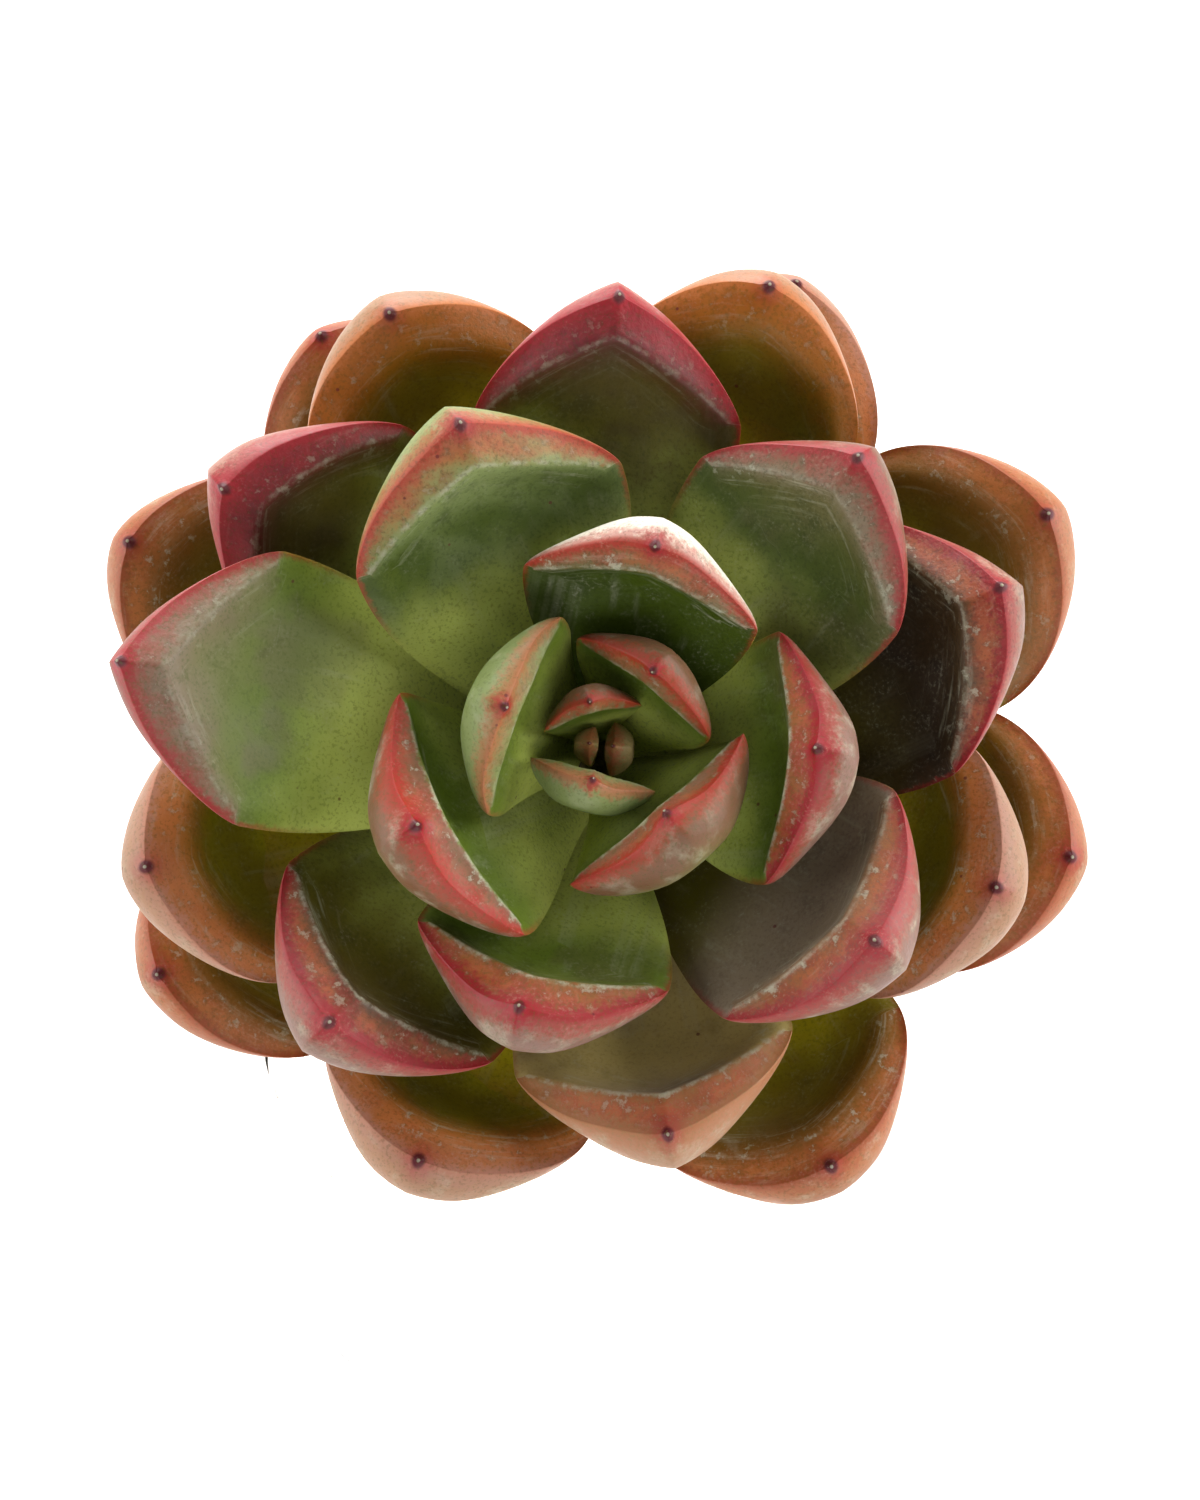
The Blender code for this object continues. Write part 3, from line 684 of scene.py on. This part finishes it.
    rough_edge = f.plus(away, f.times(speck, 1.5))
    edge = f.times(f.step(rough_edge, 0.75 * blush * size + 0.2, 0.05), f.step(reach, 0.45, 0.75))
    colour = f.mix(f.times(edge, 0.20 + 0.45 * blush), colour, margin)
    around_point = f.plus(point, f.times(speck, 1.6))
    colour = f.mix(f.times(f.step(around_point, 2.4 * size, 0.6), 0.85 * blush), colour, red)
    tip_size = 0.15 + 0.65 * size
    colour = f.mix(f.step(point, 1.20 * tip_size, 0.60 * tip_size), colour, hard)
    # Painted highlight: a pale dot, in the bloom's tone, on the tip of the hard point
    colour = f.mix(f.times(f.step(point, 0.30 * tip_size, 0.14 * tip_size), 0.6), colour, frost)

    pores = f.times(f.step(grain, 0.48, 0.34), 0.32)
    colour = f.mix(pores, colour, darker(face, 0.45))
    dust = f.times(f.step(grain, 0.50, 0.80), f.times(f.step(patch, 0.40, 0.65), 0.04 + 0.22 * bloom))
    colour = f.mix(dust, colour, frost)
    colour = f.mix(f.times(f.step(f.spots(210), 0.055, 0.03), 0.7), colour, hard)
    f.set("Base Color", colour)
    f.set("Roughness", f.step(f.plus(patch, f.times(grain, 0.4)), 0.4, 1.0, 0.38, 0.66))
    f.shader.inputs["Specular IOR Level"].default_value = 0.25
    f.shader.inputs["Subsurface Weight"].default_value = 0.10
    f.shader.inputs["Subsurface Radius"].default_value = (0.9, 0.8, 0.3)
    f.shader.inputs["Subsurface Scale"].default_value = 0.0025
    soft_bump = f.bump(patch, 0.35, 0.0004)
    crusted = f.bump(f.times(flake, bloom), 0.30, 0.00010, soft_bump)
    f.set("Normal", f.bump(grain, 0.30, 0.00008, crusted))
    return f.material


class ECHEVERIA_OT_leaves(Operator):
    """Grow the rosette's leaves, each with its own skin"""
    bl_idname = "echeveria.leaves"
    bl_label = "Leaves"

    def execute(self, context):
        tones, sizes = context.scene.echeveria_tones, context.scene.echeveria_sizes
        for number in range(len(LEAVES)):
            mesh = leaf_mesh(number, sizes)
            add_piece(f"skin_of_leaf_{number + 1:02d}", mesh, leaf_finish(number, tones),
                      f"leaf_{number + 1:02d}", slot=age_of(number) + "_leaf")
        return {"FINISHED"}


# Stem


def stem_route(count):
    """Points and radii from the root, up out of the soil and along the rosette's axis, as in the solids."""
    frame = rosette_frame()
    last = FIRST_LEAF_BELOW_TIP + LEAF_SPACING * len(LEAVES)
    crown = frame @ Vector((0, 0, -last))
    along = frame.to_3x3() @ Vector((0, 0, 1))
    reach = (crown - STEM_ROOT).length * STEM_REACH
    corners = STEM_ROOT, STEM_ROOT + Vector((0, 0, reach)), crown - along * reach, crown
    points, radii = [], []
    for step in range(count):
        t = step / count
        weights = (1 - t) ** 3, 3 * t * (1 - t) ** 2, 3 * t * t * (1 - t), t ** 3
        points.append(sum((corner * weight for corner, weight in zip(corners, weights)), Vector()))
        radii.append(STEM_RADIUS)
    for step in range(count):
        below = last + (FIRST_LEAF_BELOW_TIP - last) * step / (count - 1)
        points.append(frame @ Vector((0, 0, -below)))
        radii.append(stem_radius_at(below) - CLEARANCE)
    return np.array(points), np.array(radii)


def stem_mesh():
    """A ball drawn out along the route, with rings of scars where old leaves fell."""
    route, radii = stem_route(40)
    run = np.concatenate(((0,), np.cumsum(np.linalg.norm(np.diff(route, axis=0), axis=1))))
    bm = bmesh.new()
    bmesh.ops.create_uvsphere(bm, u_segments=56, v_segments=150, radius=1)
    mesh = mesh_from("stem_skin", bm)
    ball = read_points(mesh)
    share = 1 - np.arccos(np.clip(ball[:, 2], -1, 1)) / math.pi
    around = np.arctan2(ball[:, 1], ball[:, 0])
    place = share * run[-1]
    centre = np.column_stack([np.interp(place, run, route[:, axis]) for axis in range(3)])
    ahead = np.column_stack([np.interp(place + 0.0005, run, route[:, axis]) for axis in range(3)])
    behind = np.column_stack([np.interp(place - 0.0005, run, route[:, axis]) for axis in range(3)])
    forward = (ahead - behind) / np.linalg.norm(ahead - behind, axis=1)[:, None]
    side = np.array((1.0, 0.0, 0.0))
    out = np.cross(forward, side)
    ends = quarter_round(np.minimum(place, run[-1] - place) / STEM_END_ROUNDING)
    ring = np.mod(place / SCAR_PITCH + 0.35 * np.sin(around * 3 + place / 0.004), 1)
    broken = 0.6 + 0.4 * np.sin(around * 5 + np.floor(place / SCAR_PITCH) * 2.4)
    scar = np.exp(-((ring - 0.5) / 0.16) ** 2) * broken
    radius = (np.interp(place, run, radii) - SCAR_DEPTH * scar) * ends
    radius *= np.where((share == 0) | (share == 1), 0, 1)
    offset = np.cos(around)[:, None] * side + np.sin(around)[:, None] * out
    write_points(mesh, centre + radius[:, None] * offset)
    write_attribute(mesh, "place", place * 1000)
    write_attribute(mesh, "scar", scar)
    return mesh


def stem_finish(tones):
    f = Finish("bark_skin")
    place, scar = f.attribute("place"), f.attribute("scar")
    patch = f.noise(420, 4.0, 0.6)
    fibre = f.noise(900, 5.0, 0.7)
    bark, moss = shade(tones, "bark"), shade(tones, "moss")
    colour = f.mix(f.step(patch, 0.35, 0.70), bark, darker(bark, 0.45))
    colour = f.mix(f.times(f.step(place, 30, 48), 0.6), colour, moss)
    colour = f.mix(f.times(f.step(scar, 0.45, 0.85), 0.55), colour, shade(tones, "cream"))
    colour = f.mix(f.times(f.step(fibre, 0.55, 0.72), 0.5), colour, darker(bark, 0.3))
    f.set("Base Color", colour)
    f.set("Roughness", f.step(fibre, 0.3, 0.7, 0.62, 0.88))
    f.set("Normal", f.bump(fibre, 0.6, 0.00030, f.bump(patch, 0.5, 0.00060)))
    return f.material


class ECHEVERIA_OT_stem(Operator):
    """Grow the stem, scarred where leaves fell"""
    bl_idname = "echeveria.stem"
    bl_label = "Stem"

    def execute(self, context):
        add_piece("skin_of_stem", stem_mesh(), stem_finish(context.scene.echeveria_tones), "stem",
                  slot="stem_bark")
        return {"FINISHED"}


# Pot


def arc(centre, radius, start, end, steps):
    """Points of an arc in the profile's plane; angles in degrees, 0 pointing outwards."""
    angles = [math.radians(start + (end - start) * step / steps) for step in range(steps + 1)]
    return [(centre[0] + radius * math.cos(angle), centre[1] + radius * math.sin(angle)) for angle in angles]


def pot_profile():
    """(radius, height) points from the middle of the inside floor over the rim to the middle of the foot."""
    corner = POT_CORNER - FOOT_HEIGHT
    band_bottom = POT_HEIGHT - BAND_HEIGHT
    band_step = POT_RADIUS - BODY_RADIUS
    floor = [(INNER_RADIUS - INNER_CORNER) * step / 10 for step in range(10)]
    points = [(radius, POT_FLOOR) for radius in floor]
    points += arc((INNER_RADIUS - INNER_CORNER, POT_FLOOR + INNER_CORNER), INNER_CORNER, -90, 0, 16)
    wall_top = POT_HEIGHT - RIM_ROUNDING
    low = POT_FLOOR + INNER_CORNER
    points += [(INNER_RADIUS, low + (wall_top - low) * step / 12) for step in range(1, 12)]
    points += arc((INNER_RADIUS + RIM_ROUNDING, wall_top), RIM_ROUNDING, 180, 90, 8)
    points += arc((POT_RADIUS - RIM_ROUNDING, wall_top), RIM_ROUNDING, 90, 0, 8)
    points += [(POT_RADIUS, band_bottom + band_step + 0.0003),
               (POT_RADIUS - 0.0002, band_bottom + 0.8 * band_step),
               (BODY_RADIUS + 0.0002, band_bottom + 0.2 * band_step),
               (BODY_RADIUS, band_bottom - 0.0003)]
    drop = band_bottom - POT_CORNER
    for step in range(1, 30):  # faint turning rings
        height = band_bottom - 0.0006 - (drop - 0.0009) * step / 30
        points.append((BODY_RADIUS - 0.00005 * (1 + math.sin(height / 0.00055)), height))
    points += arc((BODY_RADIUS - corner, POT_CORNER), corner, 0, -90, 20)
    points += [(FOOT_RADIUS, FOOT_HEIGHT), (FOOT_RADIUS, 0.0004), (FOOT_RADIUS - 0.0004, 0)]
    points += [(FOOT_RADIUS * (1 - step / 8), 0) for step in range(1, 9)]
    return points


def turned_mesh(name, profile, steps):
    bm = bmesh.new()
    verts = [bm.verts.new((radius, 0, height)) for radius, height in profile]
    edges = [bm.edges.new(pair) for pair in zip(verts, verts[1:])]
    bmesh.ops.spin(bm, geom=verts + edges, cent=(0, 0, 0), axis=(0, 0, 1), angle=math.tau, steps=steps,
                   use_merge=True)
    bmesh.ops.remove_doubles(bm, verts=bm.verts, dist=1e-6)
    bmesh.ops.recalc_face_normals(bm, faces=bm.faces)
    return mesh_from(name, bm)


def cut_away(mesh, cutters):
    """The mesh less the cutters' meshes, as a new mesh."""
    whole = bpy.data.objects.new("whole", mesh)
    bpy.context.scene.collection.objects.link(whole)
    drills = []
    for cutter in cutters:
        drill = bpy.data.objects.new("drill", cutter)
        bpy.context.scene.collection.objects.link(drill)
        drills.append(drill)
        boolean = whole.modifiers.new("Cut", "BOOLEAN")
        boolean.operation = "DIFFERENCE"
        boolean.solver = "EXACT"
        boolean.object = drill
    evaluated = whole.evaluated_get(bpy.context.evaluated_depsgraph_get())
    cut = bpy.data.meshes.new_from_object(evaluated)
    for thing in (whole, *drills):
        bpy.data.objects.remove(thing)
    cut.shade_smooth()
    cut.set_sharp_from_angle(angle=math.radians(40))
    return cut


def drain_drills():
    drills = []
    for number in range(DRAIN_COUNT):
        angle = math.tau * (number + 0.5) / DRAIN_COUNT
        bm = bmesh.new()
        bmesh.ops.create_cone(bm, cap_ends=True, segments=40, radius1=DRAIN_RADIUS + 0.0004,
                              radius2=DRAIN_RADIUS, depth=POT_FLOOR * 3)
        bmesh.ops.translate(bm, verts=bm.verts, vec=(DRAIN_RING_RADIUS * math.cos(angle),
                                                     DRAIN_RING_RADIUS * math.sin(angle), POT_FLOOR / 2))
        drills.append(mesh_from("drill", bm))
    return drills


def glaze_finish(tones):
    f = Finish("white_glaze_skin")
    height = f.node("ShaderNodeSeparateXYZ")
    f.put(height.inputs[0], f.place)
    height = f.times(height.outputs["Z"], 1000)
    cloud = f.noise(60, 3.0)
    fine = f.noise(900, 3.0, 0.6)
    glaze, clay = shade(tones, "glaze"), shade(tones, "clay")
    colour = f.mix(f.times(f.step(cloud, 0.40, 0.70), 0.35), glaze, darker(glaze, 0.94))
    lip = f.step(f.plus(height, f.times(fine, 0.8)), POT_HEIGHT * 1000 - 0.5, POT_HEIGHT * 1000 + 0.5)
    colour = f.mix(f.times(lip, 0.22), colour, clay)
    colour = f.mix(f.times(f.step(f.spots(260), 0.045, 0.02), 0.55), colour, clay)
    bare = f.step(f.plus(height, f.times(fine, 0.5)), 1.75, 1.45)
    colour = f.mix(bare, colour, f.mix(fine, clay, darker(clay, 0.8)))
    f.set("Base Color", colour)
    f.set("Roughness", f.mix(bare, f.mix(cloud, (0.10,) * 3, (0.24,) * 3), (0.85,) * 3))
    f.shader.inputs["Specular IOR Level"].default_value = 0.55
    f.set("Normal", f.bump(fine, 0.10, 0.00010, f.bump(cloud, 0.25, 0.00120)))
    return f.material


class ECHEVERIA_OT_pot(Operator):
    """Turn the glazed bowl and drill its drain holes"""
    bl_idname = "echeveria.pot"
    bl_label = "Pot"

    def execute(self, context):
        mesh = cut_away(turned_mesh("pot_skin", pot_profile(), 144), drain_drills())
        mesh.name = "pot_skin"
        add_piece("skin_of_pot", mesh, glaze_finish(context.scene.echeveria_tones), "pot", slot="white_glaze")
        return {"FINISHED"}


# Filling


def stem_drill():
    """The stem's lower part, a little wider, to cut the stones' bed with, and its middle."""
    route, radii = stem_route(12)
    bm = bmesh.new()
    bmesh.ops.create_cone(bm, cap_ends=True, segments=32, radius1=STEM_RADIUS + CLEARANCE,
                          radius2=STEM_RADIUS + CLEARANCE, depth=0.03)
    middle = route[np.abs(route[:12, 2] - (SOIL_TOP + GRIT_TOP) / 2).argmin()]
    bmesh.ops.translate(bm, verts=bm.verts, vec=middle)
    return mesh_from("drill", bm), middle


def grit_mesh(sizes):
    """A bed under a layer of small worn stones, packed in rough rows, with a tint for each stone."""
    rng = random.Random(41)
    radius = INNER_RADIUS - CLEARANCE
    top = GRIT_TOP - BED_BELOW_STONES
    profile = [(0, top), (radius * 0.5, top), (radius - 0.0002, top), (radius, top - 0.0002),
               (radius, SOIL_TOP + CLEARANCE), (0, SOIL_TOP + CLEARANCE)]
    drill, stem = stem_drill()
    bed = cut_away(turned_mesh("bed", profile, 96), [drill])
    bm = bmesh.new()
    bm.from_mesh(bed)
    tint = bm.verts.layers.float.new("tint")
    for vert in bm.verts:
        vert[tint] = 0.5
    pitch = sizes.stone_size
    spots = []
    rows = int(2 * radius / (pitch * STONE_ROW)) + 2
    for row in range(rows):
        for column in range(rows):
            x = (column - rows / 2 + 0.5 * (row % 2)) * pitch + rng.uniform(-STONE_SHIFT, STONE_SHIFT) * pitch
            y = (row - rows / 2) * pitch * STONE_ROW + rng.uniform(-STONE_SHIFT, STONE_SHIFT) * pitch
            if math.hypot(x, y) < radius - 0.62 * pitch:
                if math.hypot(x - stem[0], y - stem[1]) > STEM_RADIUS + 0.75 * pitch:
                    spots.append((x, y))
    pebble = bpy.data.meshes.new("pebble")
    for x, y in spots[:sizes.stone_count]:
        stone = bmesh.new()
        bmesh.ops.create_uvsphere(stone, u_segments=7, v_segments=5, radius=1)
        bulk = pitch * rng.uniform(0.44, 0.60)
        scale = Matrix.Diagonal((bulk, bulk * rng.uniform(0.72, 0.95), bulk * rng.uniform(0.50, 0.72), 1))
        turn = Matrix.Rotation(rng.uniform(0, math.tau), 4, "Z")
        turn @= Matrix.Rotation(rng.uniform(-0.5, 0.5), 4, "X")
        seed = Vector((rng.uniform(0, 99), rng.uniform(0, 99), 0))
        shade_of_stone = rng.random()
        lift = top + 0.35 * bulk + rng.uniform(-0.0003, 0.0001)
        tint = stone.verts.layers.float.new("tint")
        for vert in stone.verts:
            vert.co *= 1 + 0.16 * noise.noise(vert.co * 1.3 + seed)
            vert.co = turn @ (scale @ vert.co) + Vector((x, y, lift))
            vert[tint] = shade_of_stone
        stone.to_mesh(pebble)
        stone.free()
        bm.from_mesh(pebble)
    mesh = mesh_from("grit_skin", bm)
    mesh.set_sharp_from_angle(angle=math.radians(50))
    for spent in (bed, pebble):
        bpy.data.meshes.remove(spent)
    return mesh


def grit_finish(tones):
    f = Finish("pale_grit_skin")
    tint = f.attribute("tint")
    fine = f.noise(1800, 4.0, 0.65)
    patch = f.noise(500, 3.0)
    grit, clay = shade(tones, "grit"), shade(tones, "clay")
    colour = f.mix(f.step(tint, 0.45, 0.98, 0.0, 0.45), grit, clay)
    colour = f.mix(f.times(f.step(tint, 0.08, 0.01), 0.4), colour, darker(clay, 0.5))
    colour = f.mix(f.times(f.step(fine, 0.54, 0.72), 0.20), colour, clay)
    f.set("Base Color", f.mix(f.times(f.step(patch, 0.5, 0.7), 0.3), colour, (0.9, 0.89, 0.86)))
    f.set("Roughness", f.step(fine, 0.3, 0.7, 0.55, 0.85))
    f.set("Normal", f.bump(fine, 0.55, 0.00020, f.bump(patch, 0.4, 0.00040)))
    return f.material


def soil_finish(tones):
    f = Finish("potting_soil_skin")
    crumb = f.noise(900, 6.0, 0.7)
    lump = f.noise(260, 4.0, 0.6)
    soil = shade(tones, "soil")
    colour = f.mix(f.step(lump, 0.35, 0.70), soil, darker(soil, 0.4))
    colour = f.mix(f.times(f.step(crumb, 0.58, 0.70), 0.6), colour, shade(tones, "bark"))
    colour = f.mix(f.times(f.step(f.spots(420), 0.14, 0.08), 0.8), colour, shade(tones, "grit"))
    f.set("Base Color", colour)
    f.set("Roughness", f.step(crumb, 0.3, 0.7, 0.80, 0.98))
    f.set("Normal", f.bump(crumb, 0.9, 0.00060, f.bump(lump, 0.8, 0.00150)))
    return f.material


class ECHEVERIA_OT_grit(Operator):
    """Lay the dressing of pale stones round the stem"""
    bl_idname = "echeveria.grit"
    bl_label = "Grit"

    def execute(self, context):
        tones, sizes = context.scene.echeveria_tones, context.scene.echeveria_sizes
        add_piece("skin_of_grit", grit_mesh(sizes), grit_finish(tones), "grit", slot="pale_grit")
        return {"FINISHED"}


class ECHEVERIA_OT_soil(Operator):
    """Give the soil its crumbly surface"""
    bl_idname = "echeveria.soil"
    bl_label = "Soil"

    def execute(self, context):
        soil = frame["nodes"]["soil"]
        soil.data.materials.clear()
        soil.data.materials.append(soil_finish(context.scene.echeveria_tones))
        return {"FINISHED"}


# Stage


def add_lamp(name, place, aim, size, power):
    light = bpy.data.lights.new(name, "AREA")
    light.size = size
    light.energy = power
    lamp = bpy.data.objects.new(name, light)
    lamp.location = place
    lamp.rotation_euler = (place - aim).to_track_quat("Z", "Y").to_euler()
    bpy.context.scene.collection.objects.link(lamp)
    return lamp


class ECHEVERIA_OT_stage(Operator):
    """Set the pale floor, the soft lights and the camera"""
    bl_idname = "echeveria.stage"
    bl_label = "Stage"

    def execute(self, context):
        scene = context.scene
        tones, sizes = scene.echeveria_tones, scene.echeveria_sizes
        bm = bmesh.new()
        bmesh.ops.create_grid(bm, x_segments=1, y_segments=1, size=FLOOR_SIZE)
        floor = bpy.data.objects.new("floor", mesh_from("floor", bm, smooth=False))
        scene.collection.objects.link(floor)
        f = Finish("pale_floor")
        f.set("Base Color", shade(tones, "floor"))
        f.set("Roughness", 0.8)
        f.set("Emission Color", (1, 1, 1))
        f.set("Emission Strength", FLOOR_GLOW)
        floor.data.materials.append(f.material)

        world = bpy.data.worlds.new("soft_sky")
        world.use_nodes = True
        tree = world.node_tree
        sky, backdrop = tree.nodes["Background"], tree.nodes.new("ShaderNodeBackground")
        for background, strength in ((sky, SKY_LIGHT), (backdrop, SKY_SEEN)):
            background.inputs["Color"].default_value = (1, 1, 1, 1)
            background.inputs["Strength"].default_value = strength
        seen = tree.nodes.new("ShaderNodeLightPath")
        either = tree.nodes.new("ShaderNodeMixShader")
        tree.links.new(seen.outputs["Is Camera Ray"], either.inputs[0])
        tree.links.new(sky.outputs[0], either.inputs[1])
        tree.links.new(backdrop.outputs[0], either.inputs[2])
        tree.links.new(either.outputs[0], tree.nodes["World Output"].inputs["Surface"])
        scene.world = world

        # The bowl and the stones have a light of their own, and the other lights leave them out
        ware, not_ware = (bpy.data.collections.new(name) for name in ("pale_ware", "all_but_ware"))
        for group in (ware, not_ware):
            for name in ("skin_of_pot", "skin_of_grit"):
                group.objects.link(bpy.data.objects[name])
        for member in not_ware.collection_objects:
            member.light_linking.link_state = "EXCLUDE"
        for name, place, share in LAMPS:
            lamp = add_lamp(name, Vector(place), GROWING_TIP, LAMP_SIZE, sizes.light_power * share)
            lamp.light_linking.receiver_collection = not_ware
        lamp = add_lamp("ware_light", WARE_LAMP_PLACE, Vector(), WARE_LAMP_SIZE, sizes.ware_power)
        lamp.light_linking.receiver_collection = ware
        lamp.light_linking.blocker_collection = ware

        camera = bpy.data.objects.new("camera", bpy.data.cameras.new("camera"))
        camera.data.lens = CAMERA_LENS
        camera.data.sensor_width = 36
        camera.data.clip_start = 0.01
        outward = Vector((0, -math.cos(CAMERA_ELEVATION), math.sin(CAMERA_ELEVATION)))
        camera.location = CAMERA_AIM + CAMERA_DISTANCE * outward
        camera.rotation_euler = (math.pi / 2 - CAMERA_ELEVATION, 0, 0)
        scene.collection.objects.link(camera)
        scene.camera = camera
        scene.view_settings.view_transform = "Standard"
        scene.view_settings.look = "None"
        return {"FINISHED"}


OPERATORS = (ECHEVERIA_OT_pot, ECHEVERIA_OT_soil, ECHEVERIA_OT_grit, ECHEVERIA_OT_stem, ECHEVERIA_OT_leaves,
             ECHEVERIA_OT_stage)


class ECHEVERIA_PT_panel(Panel):
    bl_label = "Echeveria"
    bl_idname = "ECHEVERIA_PT_panel"
    bl_space_type = "VIEW_3D"
    bl_region_type = "UI"
    bl_category = "Echeveria"

    def draw(self, context):
        layout = self.layout
        for operator in OPERATORS:
            layout.operator(operator.bl_idname)
        for settings in (context.scene.echeveria_sizes, context.scene.echeveria_tones):
            for name in settings.__annotations__:
                layout.prop(settings, name)


CLASSES = (EcheveriaTones, EcheveriaSizes, *OPERATORS, ECHEVERIA_PT_panel)


def register():
    for item in CLASSES:
        bpy.utils.register_class(item)
    bpy.types.Scene.echeveria_tones = PointerProperty(type=EcheveriaTones)
    bpy.types.Scene.echeveria_sizes = PointerProperty(type=EcheveriaSizes)


def unregister():
    del bpy.types.Scene.echeveria_sizes
    del bpy.types.Scene.echeveria_tones
    for item in reversed(CLASSES):
        bpy.utils.unregister_class(item)


def main():
    register()
    bpy.ops.echeveria.pot()
    bpy.ops.echeveria.soil()
    bpy.ops.echeveria.grit()
    bpy.ops.echeveria.stem()
    bpy.ops.echeveria.leaves()
    bpy.ops.echeveria.stage()


if __name__ == "__main__":
    main()
